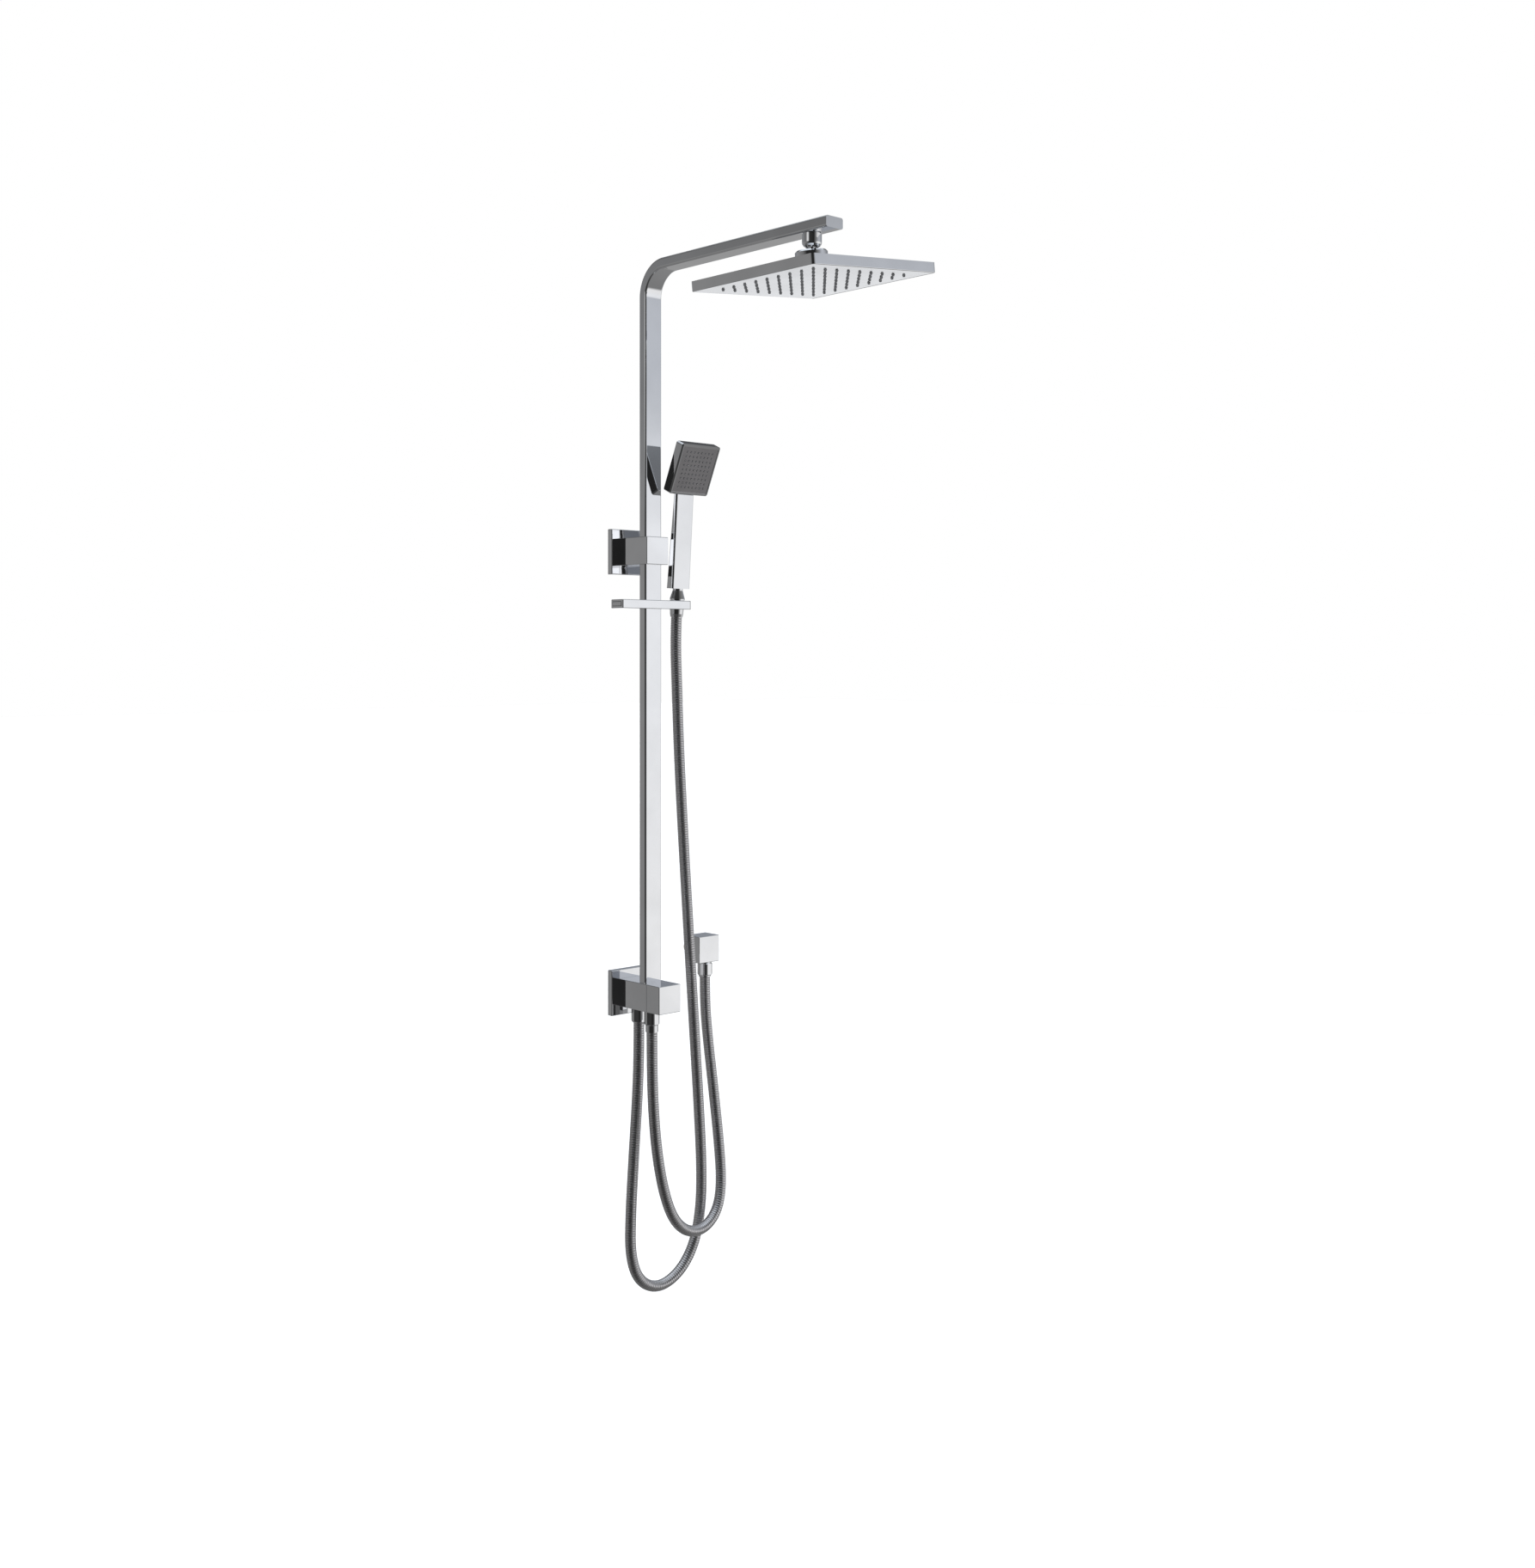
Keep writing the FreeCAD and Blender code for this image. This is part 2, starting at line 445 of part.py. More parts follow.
def make_cartridge():
    disc_front = CARTRIDGE_FLOOR - DISC_T
    fixed = along_y(DISC_R, CARTRIDGE_FLOOR, disc_front)
    for x, z in WATERWAYS:
        fixed = fixed.cut(along_y(1.8, 0, -90, x, z))
    save("fixed_disc", fixed)
    moving_back = disc_front - FIT
    moving_front = moving_back - DISC_T
    moving = along_y(DISC_R - 0.2, moving_back, moving_front)
    moving = moving.cut(along_y(3.2, moving_back + 1, moving_back - 1.8, 0, -3.0))
    save("moving_disc", moving)

    flange_front = moving_front - 2.4
    housing_front = -74.0
    housing = along_y(CARTRIDGE_R - FIT, moving_front - RUN_GAP, housing_front)
    housing = housing.cut([along_y(FLANGE_R + RUN_GAP, moving_front + 1, flange_front - RUN_GAP),
                           along_y(STEM_R + RUN_GAP, moving_front, housing_front - 1)])
    save("diverter_cartridge", housing)
    nut = along_y(CARTRIDGE_R - FIT, housing_front, SPIGOT_END)
    nut = nut.cut([along_y(STEM_R + 0.5, housing_front + 1, SPIGOT_END - 1),
                   box(-CARTRIDGE_R, CARTRIDGE_R, SPIGOT_END - 1, SPIGOT_END + 1, -1, 1)])
    save("cartridge_nut", nut)

    stem_end = -84.0
    stem = along_y(FLANGE_R, moving_front, flange_front).fuse(along_y(STEM_R, moving_front, stem_end))
    stem = stem.cut(box(-STEM_R, STEM_R, stem_end - 1, stem_end + 7, -STEM_R, -STEM_R + 1.2))
    save("diverter_stem", stem)
    return stem_end


def make_knob(stem_end):
    half, wall = SQ / 2, 2.0
    back = BODY_FRONT_Y - KNOB_GAP
    knob = box(-half, half, KNOB_FRONT_Y, back, -half, half)
    middle_y = (KNOB_FRONT_Y + back) / 2
    knob = knob.makeFillet(EDGE, [e for e in knob.Edges if abs(e.CenterOfMass.y - middle_y) < 0.01])
    for y, rounding in ((KNOB_FRONT_Y, 0.8 * EDGE), (back, SEAM_ROUNDING)):
        rim = [e for e in knob.Edges if e.BoundBox.YLength < 0.01 and abs(e.CenterOfMass.y - y) < 0.01]
        knob = knob.makeFillet(rounding, rim)
    room = half - wall
    knob = knob.cut(box(-room, room, KNOB_FRONT_Y + 2.5, back + 1, -room, room))
    hub = along_y(7.5, KNOB_FRONT_Y + 2, SPIGOT_END - 1)
    rib = box(-3.5, 3.5, KNOB_FRONT_Y + 2, SPIGOT_END - 1, -room - 1, -6)
    knob = knob.fuse([hub, rib]).cut(along_y(STEM_R + FIT, stem_end - FIT, SPIGOT_END + 5))
    flat_z = -STEM_R + 1.2 - FIT
    screw_y = stem_end + 3.5
    knob = knob.cut(cylinder(1.6 + FIT, Vec(0, screw_y, flat_z), half, DOWN))
    save("diverter_knob", knob)
    screw = cylinder(1.6, Vec(0, screw_y, flat_z), 7.0, DOWN)
    screw = screw.cut(hexagon_at(0, screw_y, flat_z - 7.1))
    save("knob_screw", screw)


def port_stub(seat_z, spigot):
    """Male stub under a bracket: spigot goes up into it and the thread hangs below."""
    stub = revolved([(3.0, seat_z + spigot), (6.0, seat_z + spigot), (6.0, seat_z), (PORT_R, seat_z),
                     (PORT_R, seat_z - PORT_LENGTH + 0.6), (PORT_R - 0.6, seat_z - PORT_LENGTH),
                     (3.0, seat_z - PORT_LENGTH)])
    return stub


def make_ports():
    under = -SQ / 2
    save("hand_port", moved(port_stub(under, 7.5), 0, HAND_PORT_Y, 0))
    save("supply_port", moved(port_stub(under, 7.5), 0, SUPPLY_PORT_Y, 0))


# ---- Wall outlet --------------------------------------------------------------------------------
def make_outlet():
    half = SQ / 2
    bottom = OUTLET_Z - half
    body = box(OUTLET_X - half, OUTLET_X + half, -OUTLET_D, 0, bottom, OUTLET_Z + half)
    body = body.makeFillet(EDGE, [e for e in body.Edges if e.BoundBox.YLength > 1])
    rim = [e for e in body.Edges if e.BoundBox.YLength < 0.01 and e.CenterOfMass.y < -1]
    body = body.makeFillet(0.8 * EDGE, rim)
    body = body.cut([along_y(INLET_ROOT_R + FIT, 1, -13, OUTLET_X, OUTLET_Z),
                     along_y(INLET_R + 0.25, 1, -1.0, OUTLET_X, OUTLET_Z),
                     along_y(6.0, 1, OUTLET_PORT_Y, OUTLET_X, OUTLET_Z),
                     cylinder(6.0 + FIT, Vec(OUTLET_X, OUTLET_PORT_Y, bottom - 1), half + 1)])
    save("outlet_body", body)
    stub = along_y(INLET_R, INLET_OUT, 0.8, OUTLET_X, OUTLET_Z)
    stub = stub.fuse(along_y(INLET_ROOT_R, 1.5, -12.5, OUTLET_X, OUTLET_Z))
    stub = stub.cut(along_y(7.0, INLET_OUT + 1, -14, OUTLET_X, OUTLET_Z))
    save("outlet_inlet", stub)
    save("outlet_port", moved(port_stub(bottom, 5.0), OUTLET_X, OUTLET_PORT_Y, 0))
    valve = revolved([(2.5, bottom + 5.2), (5.8, bottom + 5.2), (5.8, bottom + 8), (5.0, bottom + 8),
                      (5.0, bottom + 13), (2.5, bottom + 15)])
    valve = valve.cut(cylinder(1.5, Vec(0, 0, bottom), 20))
    save("check_valve", moved(valve, OUTLET_X, OUTLET_PORT_Y, 0))


# ---- Slider -------------------------------------------------------------------------------------
def cone_radius(h):
    """Outside radius of the hose's conical nut at height h over the bar's middle."""
    half = BAR_H / 2
    return 9.0 + 0.6 * (h + half) / BAR_H


def cone_hole(extra):
    """Tapered hole round the conical nut, larger than it by extra."""
    reach = BAR_H
    return revolved([(0, -reach), (cone_radius(-reach) + extra, -reach),
                     (cone_radius(reach) + extra, reach), (0, reach)])


def make_slider():
    z0, z1 = BAR_Z - BAR_H / 2, BAR_Z + BAR_H / 2
    mid_y = (BAR_FRONT_Y + BAR_BACK_Y) / 2
    bar = box(-BAR_X, BAR_END_X, BAR_FRONT_Y, BAR_BACK_Y, z0, z1)
    uprights = [e for e in bar.Edges if e.BoundBox.ZLength > BAR_H / 2]
    bar = bar.makeFillet(BAR_END_R, [e for e in uprights if e.CenterOfMass.x > 0])
    uprights = [e for e in bar.Edges if e.BoundBox.ZLength > BAR_H / 2]
    bar = bar.makeFillet(EDGE, [e for e in uprights if e.CenterOfMass.x < 0])
    bar = bar.makeFillet(0.8 * EDGE, [e for e in bar.Edges if e.BoundBox.ZLength < 0.01])
    liner_t = 0.8
    bore_w, bore_d = RAIL_W + 2 * RUN_GAP, RAIL_D + 2 * RUN_GAP
    slot = rounded_bar(bore_w + 2 * liner_t + 2 * FIT, bore_d + 2 * liner_t + 2 * FIT,
                       RAIL_R + liner_t, z0 - 1, z1 + 1)
    button_room = box(-BAR_X - 1, -BAR_X + BUTTON_IN + BUTTON_TRAVEL + 7,
                      mid_y - BUTTON_W / 2 - RUN_GAP, mid_y + BUTTON_W / 2 + RUN_GAP,
                      BAR_Z - BUTTON_H / 2 - RUN_GAP, BAR_Z + BUTTON_H / 2 + RUN_GAP)
    shoe_w, shoe_h = SHOE_W + 2 * RUN_GAP, SHOE_H + 2 * RUN_GAP
    shoe_room = box(-BAR_X + BUTTON_IN, -RAIL_W / 2 + 1, RAIL_Y - shoe_w / 2, RAIL_Y + shoe_w / 2,
                    BAR_Z - shoe_h / 2, BAR_Z + shoe_h / 2)
    bush_t = 0.7
    bar = bar.cut([moved(slot, 0, RAIL_Y, 0), button_room, shoe_room,
                   on_holder(cone_hole(RUN_GAP + bush_t + FIT))])
    save("slider_body", bar)
    liner = rounded_bar(bore_w + 2 * liner_t, bore_d + 2 * liner_t, RAIL_R + liner_t, z0 + 0.5, z1 - 0.5)
    liner = liner.cut(rounded_bar(bore_w, bore_d, RAIL_R, z0 - 1, z1 + 1))
    save("slider_liner", moved(liner, 0, RAIL_Y, 0).cut(shoe_room))

    bush = cone_hole(RUN_GAP + bush_t).cut(cone_hole(RUN_GAP))
    bush = on_holder(bush).common(box(0, BAR_X, BAR_FRONT_Y, BAR_BACK_Y, z0 + 0.3, z1 - 0.3))
    save("holder_bush", bush)

    button = soft_box(-BAR_X - 0.4, -BAR_X + BUTTON_IN, mid_y - BUTTON_W / 2, mid_y + BUTTON_W / 2,
                      BAR_Z - BUTTON_H / 2, BAR_Z + BUTTON_H / 2, 0.6)
    save("slider_button", button)
    coil = Part.makeHelix(1.6, 6.4, 2.0)
    wire = Part.Wire(coil.Edges)
    ring = Part.Wire(Part.makeCircle(0.3, Vec(2.0, 0, 0), Y_AXIS))
    spring = wire.makePipeShell([ring], True, True)
    spring.rotate(Vec(0, 0, 0), Y_AXIS, 90)
    save("button_spring", moved(spring, -BAR_X + BUTTON_IN + 0.35, mid_y, BAR_Z))
    shoe = box(-21.0, -RAIL_W / 2 - RUN_GAP, RAIL_Y - SHOE_W / 2, RAIL_Y + SHOE_W / 2,
               BAR_Z - SHOE_H / 2, BAR_Z + SHOE_H / 2)
    save("brake_shoe", shoe)


# ---- Hand shower --------------------------------------------------------------------------------
def handle_section(h, front, back, width):
    wire = rounded_wire(width, front + back, 2.5, h)
    wire.translate(Vec(0, (back - front) / 2, 0))
    return wire


def make_handset():
    handle = Part.makeLoft([handle_section(HANDLE_START, 7.0, 6.0, HANDLE_W),
                            handle_section(HANDLE_END, 6.5, -0.4, HANDLE_W)], True, True)
    handle = on_holder(handle)
    w, length, t = HAND_HEAD_W / 2, HAND_HEAD_L / 2, HAND_HEAD_T
    head = box(-w, w, 0, t, -length, length)
    along_head = [e for e in head.Edges if abs(abs(e.tangentAt(e.FirstParameter).y) - 1) < 0.01]
    head = head.makeFillet(3.0, along_head)
    front = [e for e in head.Edges if abs(e.BoundBox.YMin) < 0.01 and abs(e.BoundBox.YMax) < 0.01]
    head = head.makeChamfer(1.6, front)
    back = [e for e in head.Edges if abs(e.BoundBox.YMin - t) < 0.01]
    head = head.makeFillet(1.0, back)
    well = box(-w + 3.2, w - 3.2, -1, 9.0, -length + 3.2, length - 3.2)
    shell = handle.fuse(on_hand_head(head)).cut(on_hand_head(well))
    rise = HANDLE_END - HANDLE_START - 12
    waterway = on_holder(cylinder(2.2, Vec(0, 0, HANDLE_START - 1), rise, Vec(0, -3.1, rise)))
    riser = cylinder(1.5, Vec(HOLDER_X, -64.8, 629.0), 17.0, Vec(0, -0.2, 0.97))
    socket = on_holder(cylinder(5.0 + FIT, Vec(0, 0, HANDLE_START - 1), 13))
    save("handset_shell", shell.cut([waterway, riser, socket]))

    holes = grid(HAND_COLUMNS, HAND_ROWS, HAND_PITCH_X, HAND_PITCH_L)
    fw, fl = w - 3.25, length - 3.25
    face = box(-fw, fw, 0.5, 2.2, -fl, fl)
    face = face.cut([cylinder(1.25, Vec(x, 0, z), 4, Y_AXIS) for x, z in holes])
    save("handset_face", on_hand_head(face))
    mat = box(-fw + 0.5, fw - 0.5, 2.2, 3.4, -fl + 0.5, fl - 0.5)
    nubs = []
    for x, z in holes:
        nub = revolved([(0, -0.2), (0.75, -0.2), (1.1, 2.4), (0, 2.4)])
        nub.rotate(Vec(0, 0, 0), X_AXIS, -90)
        nubs.append(moved(nub, x, 0.0, z))
    save("handset_nozzles", on_hand_head(mat.fuse(nubs)))

    neck = revolved([(3.0, -2.0), (8.2, -2.0), (8.2, 7.0), (9.8, 7.0), (9.8, 8.4), (6.6, 19.0),
                     (6.6, HANDLE_START), (5.0, HANDLE_START), (5.0, HANDLE_START + 11.5),
                     (3.0, HANDLE_START + 11.5)])
    save("handset_inlet", on_holder(neck))


# ---- Hoses --------------------------------------------------------------------------------------
def hose_path(route):
    """Straight runs joined by tangent arcs, each arc as large as its two runs allow."""
    points = [Vec(*p) for p in route]
    edges, radii, start = [], [], points[0]
    for before, corner, after in zip(points, points[1:], points[2:]):
        into, out = (corner - before), (after - corner)
        short = min(into.Length, out.Length)
        into.normalize()
        out.normalize()
        turn = into.getAngle(out)
        reach = 0.45 * short
        radii.append(reach / math.tan(turn / 2))
        first, last = corner - into * reach, corner + out * reach
        bisector = (out - into).normalize()
        centre_distance = radii[-1] / math.cos(turn / 2)
        middle = corner + bisector * (centre_distance - radii[-1])
        edges.append(Part.LineSegment(start, first).toShape())
        edges.append(Part.Arc(first, middle, last).toShape())
        start = last
    edges.append(Part.LineSegment(start, points[-1]).toShape())
    return Part.Wire(edges), radii


def make_hose(name, route):
    path, radii = hose_path(route)
    first_run = (Vec(*route[1]) - Vec(*route[0])).normalize()
    rings = [Part.Wire(Part.makeCircle(r, Vec(*route[0]), first_run)) for r in (HOSE_R, HOSE_BORE_R)]
    tube, bore = (path.makePipeShell([ring], True, True) for ring in rings)
    tube = tube.cut(bore)
    expected = math.pi * (HOSE_R ** 2 - HOSE_BORE_R ** 2) * path.Length
    print(f"{name}: length {path.Length:.0f} mm, radii " + " ".join(f"{r:.0f}" for r in radii))
    print(f"{name}: volume over section times length {tube.Volume / expected:.4f}")
    save(name, tube)


def hose_nut(top, seat, bottom, ferrule=0.0):
    """Nut from top to bottom; the hose's flange sits at seat, and a ferrule may follow below."""
    outer_r = 9.9
    profile = [(PORT_R + FIT, top), (outer_r - 0.9, top), (outer_r, top - 0.9), (outer_r, bottom + 1.6),
               (outer_r - 1.8, bottom), (HOSE_R + 1.2, bottom), (HOSE_R + 1.2, bottom - ferrule),
               (HOSE_R + 0.1, bottom - ferrule), (HOSE_R + 0.1, seat), (PORT_R + FIT, seat)]
    nut = revolved([p for i, p in enumerate(profile) if i == 0 or p != profile[i - 1]])
    collar = cylinder(outer_r - 0.9, Vec(0, 0, bottom), top - bottom)
    grip = hexagon(2 * outer_r - 1.0, bottom + 1.0, top).fuse(collar)
    below = cylinder(outer_r, Vec(0, 0, bottom - ferrule - 1), ferrule + 2.0)
    return nut.common(grip.fuse(below))


def washer(top, bottom):
    return revolved([(4.5, top), (PORT_R - 0.1, top), (PORT_R - 0.1, bottom), (4.5, bottom)])


def make_hoses():
    make_hose("hand_hose", HAND_HOSE_ROUTE)
    make_hose("supply_hose", SUPPLY_HOSE_ROUTE)
    under = -SQ / 2
    outlet_under = OUTLET_Z - SQ / 2
    stub_end, outlet_end = under - PORT_LENGTH, outlet_under - PORT_LENGTH
    hand_seat, outlet_seat = HAND_HOSE_ROUTE[-1][2], SUPPLY_HOSE_ROUTE[-1][2]
    save("hand_hose_nut", moved(hose_nut(under - 1.2, hand_seat, -37.0), 0, HAND_PORT_Y, 0))
    nuts = [moved(hose_nut(under - 1.2, hand_seat, -37.0, 8.5), 0, SUPPLY_PORT_Y, 0),
            moved(hose_nut(outlet_under - 1.2, outlet_seat, 6.6, 1.5), OUTLET_X, OUTLET_PORT_Y, 0)]
    save("supply_hose_nuts", Part.makeCompound(nuts))
    washers = [moved(washer(stub_end, hand_seat), 0, HAND_PORT_Y, 0),
               moved(washer(stub_end, hand_seat), 0, SUPPLY_PORT_Y, 0),
               moved(washer(outlet_end, outlet_seat), OUTLET_X, OUTLET_PORT_Y, 0)]
    save("hose_washers", Part.makeCompound(washers))

    cone = revolved([(HOSE_R + 0.1, -15.0), (HOSE_R + 0.9, -15.0), (cone_radius(-11.0), -11.0),
                     (cone_radius(6.8), 6.8), (8.25, 6.8), (8.25, -6.0), (HOSE_R + 0.1, -6.0)])
    save("hand_hose_cone", on_holder(cone))
    save("handset_washer", on_holder(revolved([(4.5, -2.1), (8.1, -2.1), (8.1, -5.9), (4.5, -5.9)])))


def main():
    os.makedirs("parts", exist_ok=True)
    make_riser()
    make_coupling()
    make_arm_outlet()
    make_head(make_ball_seat())
    make_upper_bracket()
    make_diverter_body()
    make_knob(make_cartridge())
    make_ports()
    make_outlet()
    make_slider()
    make_handset()
    make_hoses()


main()
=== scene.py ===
import json
import math

import bmesh
import bpy
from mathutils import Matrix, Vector


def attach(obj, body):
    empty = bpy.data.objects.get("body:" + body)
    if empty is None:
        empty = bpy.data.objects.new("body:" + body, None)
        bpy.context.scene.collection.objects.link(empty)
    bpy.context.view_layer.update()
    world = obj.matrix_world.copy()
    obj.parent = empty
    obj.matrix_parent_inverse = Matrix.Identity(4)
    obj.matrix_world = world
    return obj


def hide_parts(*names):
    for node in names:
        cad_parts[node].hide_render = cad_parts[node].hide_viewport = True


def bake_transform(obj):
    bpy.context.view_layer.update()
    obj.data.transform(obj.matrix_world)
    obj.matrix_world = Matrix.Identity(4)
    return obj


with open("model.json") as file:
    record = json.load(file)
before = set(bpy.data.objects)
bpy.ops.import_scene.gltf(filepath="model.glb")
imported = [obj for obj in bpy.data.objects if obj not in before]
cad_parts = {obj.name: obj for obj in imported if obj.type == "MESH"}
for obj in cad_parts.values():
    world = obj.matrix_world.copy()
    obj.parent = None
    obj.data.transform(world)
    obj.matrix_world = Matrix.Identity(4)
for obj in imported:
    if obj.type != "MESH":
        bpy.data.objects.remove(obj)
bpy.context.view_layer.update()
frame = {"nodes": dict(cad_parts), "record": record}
nodes = frame["nodes"]
scene = bpy.context.scene
scene.view_settings.view_transform = "Standard"

# ---- Camera -------------------------------------------------------------------------------------
AZIMUTH = math.radians(43.33)
camera_data = bpy.data.cameras.new("camera")
camera_data.lens = 40.05
camera_data.sensor_width = 36.0
camera_data.shift_y = -0.0811
camera_data.clip_end = 100.0
camera = bpy.data.objects.new("camera", camera_data)
camera.location = (-1.4116, -1.7631, 0.4297)
camera.rotation_euler = (math.radians(90), 0, -AZIMUTH)
scene.collection.objects.link(camera)
scene.camera = camera

# ---- Hoses --------------------------------------------------------------------------------------
HOSE_R = 0.007
PITCH = 0.0031          # one turn of the wound strip
SIDES = 24              # points round the hose
PER_TURN = 8            # rings in one turn of the strip
TAIL_LENGTH = 0.034
TAIL_INSET = 0.0008     # how much slimmer the tail is than the hose round it
HAND_ROUTE = [
    (0.0, -0.027, -0.030), (0.0, -0.027, -0.078), (-0.0025, -0.0268, -0.135),
    (-0.008, -0.0262, -0.210), (-0.0125, -0.0256, -0.282), (-0.013, -0.0253, -0.333),
    (0.001, -0.025, -0.370), (0.033, -0.025, -0.387), (0.069, -0.025, -0.376),
    (0.095, -0.0252, -0.345), (0.106, -0.0258, -0.299), (0.1065, -0.027, -0.245),
    (0.099, -0.030, -0.163), (0.084, -0.0355, -0.028), (0.066, -0.0415, 0.142),
    (0.052, -0.0456, 0.292), (0.046, -0.0476, 0.394), (0.043, -0.04835, 0.453),
    (0.043, -0.05106, 0.490)]
SUPPLY_ROUTE = [
    (0.0, -0.053, -0.030), (0.0, -0.053, -0.078), (0.002, -0.0528, -0.138),
    (0.0085, -0.0522, -0.200), (0.0205, -0.0516, -0.254), (0.038, -0.0504, -0.294),
    (0.064, -0.0486, -0.316), (0.0945, -0.0462, -0.3185), (0.120, -0.0427, -0.302),
    (0.1315, -0.0388, -0.269), (0.1315, -0.033, -0.212), (0.1275, -0.026, -0.140),
    (0.122, -0.0198, -0.066), (0.120, -0.018, -0.024), (0.120, -0.018, 0.011)]


def spline_points(route):
    """Points along the smooth spline through the route."""
    data = bpy.data.curves.new("route", "CURVE")
    data.dimensions = "3D"
    data.resolution_u = 24
    spline = data.splines.new("NURBS")
    spline.points.add(len(route) - 1)
    for point, place in zip(spline.points, route):
        point.co = (*place, 1)
    spline.order_u = 3
    spline.use_endpoint_u = True
    carrier = bpy.data.objects.new("route", data)
    scene.collection.objects.link(carrier)
    bpy.context.view_layer.update()
    mesh = bpy.data.meshes.new_from_object(carrier)
    points = [v.co.copy() for v in mesh.vertices]
    bpy.data.objects.remove(carrier)
    bpy.data.meshes.remove(mesh)
    return points


def interlock(phase):
    """Radius of the wound strip: a broad crest between narrow rounded grooves."""
    groove = abs(phase - 0.5) * 2
    dip = max(0.0, (groove - 0.62) / 0.38)
    return HOSE_R - 0.00055 * dip * dip * (3 - 2 * dip)


def resample(points, step):
    """Places, each with its length from the start, about one step apart along the points."""
    lengths = [0.0]
    for a, b in zip(points, points[1:]):
        lengths.append(lengths[-1] + (b - a).length)
    count = round(lengths[-1] / step)
    out, i = [], 0
    for k in range(count + 1):
        s = lengths[-1] * k / count
        while i < len(points) - 2 and lengths[i + 1] < s:
            i += 1
        span = lengths[i + 1] - lengths[i]
        out.append((points[i].lerp(points[i + 1], (s - lengths[i]) / span), s))
    return out


def finish_tube(name, mesh):
    for face in mesh.faces:
        face.smooth = True
    data = bpy.data.meshes.new(name)
    mesh.to_mesh(data)
    mesh.free()
    piece = bpy.data.objects.new(name, data)
    scene.collection.objects.link(piece)
    return piece


def wound_hose(name, route):
    """The hose as a closed mesh, its strip's groove winding round it, and the path it follows."""
    path = spline_points(route)
    stations = resample(path, PITCH / PER_TURN)
    places = [p for p, s in stations]
    tangents = [(places[min(i + 1, len(places) - 1)] - places[max(i - 1, 0)]).normalized()
                for i in range(len(places))]
    side = tangents[0].cross(Vector((0.3, 1.0, 0.1))).normalized()
    rings, mesh = [], bmesh.new()
    for (place, s), tangent in zip(stations, tangents):
        side = (side - tangent * side.dot(tangent)).normalized()
        other = tangent.cross(side)
        ring = []
        for k in range(SIDES):
            angle = math.tau * k / SIDES
            radius = interlock((s / PITCH + k / SIDES) % 1.0)
            out = side * math.cos(angle) + other * math.sin(angle)
            ring.append(mesh.verts.new(place + out * radius))
        rings.append(ring)
    for a, b in zip(rings, rings[1:]):
        for k in range(SIDES):
            mesh.faces.new((a[k], a[(k + 1) % SIDES], b[(k + 1) % SIDES], b[k]))
    mesh.faces.new(list(reversed(rings[0])))
    mesh.faces.new(rings[-1])
    return finish_tube(name, mesh), path


supply_hose, supply_path = wound_hose("wound_supply_hose", SUPPLY_ROUTE)
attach(supply_hose, "root")
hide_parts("supply_hose")

hand_hose, hand_path = wound_hose("wound_hand_hose", HAND_ROUTE)
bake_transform(hand_hose)
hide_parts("hand_hose")


def hose_tail():
    """A short slimmer length inside the top of the hand hose, which shows when the handset lifts."""
    low, high = Vector(HAND_ROUTE[-2]), Vector(HAND_ROUTE[-1])
    axis = (high - low).normalized()
    side = axis.cross(Vector((0, 1, 0))).normalized()
    other = axis.cross(side)
    mesh, rings = bmesh.new(), []
    for k in range(int(TAIL_LENGTH / (PITCH / PER_TURN)) + 1):
        s = k * PITCH / PER_TURN
        ring = []
        for j in range(SIDES):
            angle = math.tau * j / SIDES
            radius = interlock((s / PITCH + j / SIDES) % 1.0) - TAIL_INSET
            out = side * math.cos(angle) + other * math.sin(angle)
            ring.append(mesh.verts.new(high - axis * s + out * radius))
        rings.append(ring)
    for a, b in zip(rings, rings[1:]):
        for j in range(SIDES):
            mesh.faces.new((a[j], b[j], b[(j + 1) % SIDES], a[(j + 1) % SIDES]))
    mesh.faces.new(rings[0])
    mesh.faces.new(list(reversed(rings[-1])))
    tail = finish_tube("hand_hose_tail", mesh)
    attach(tail, "hose_end")
    return tail


tail = hose_tail()


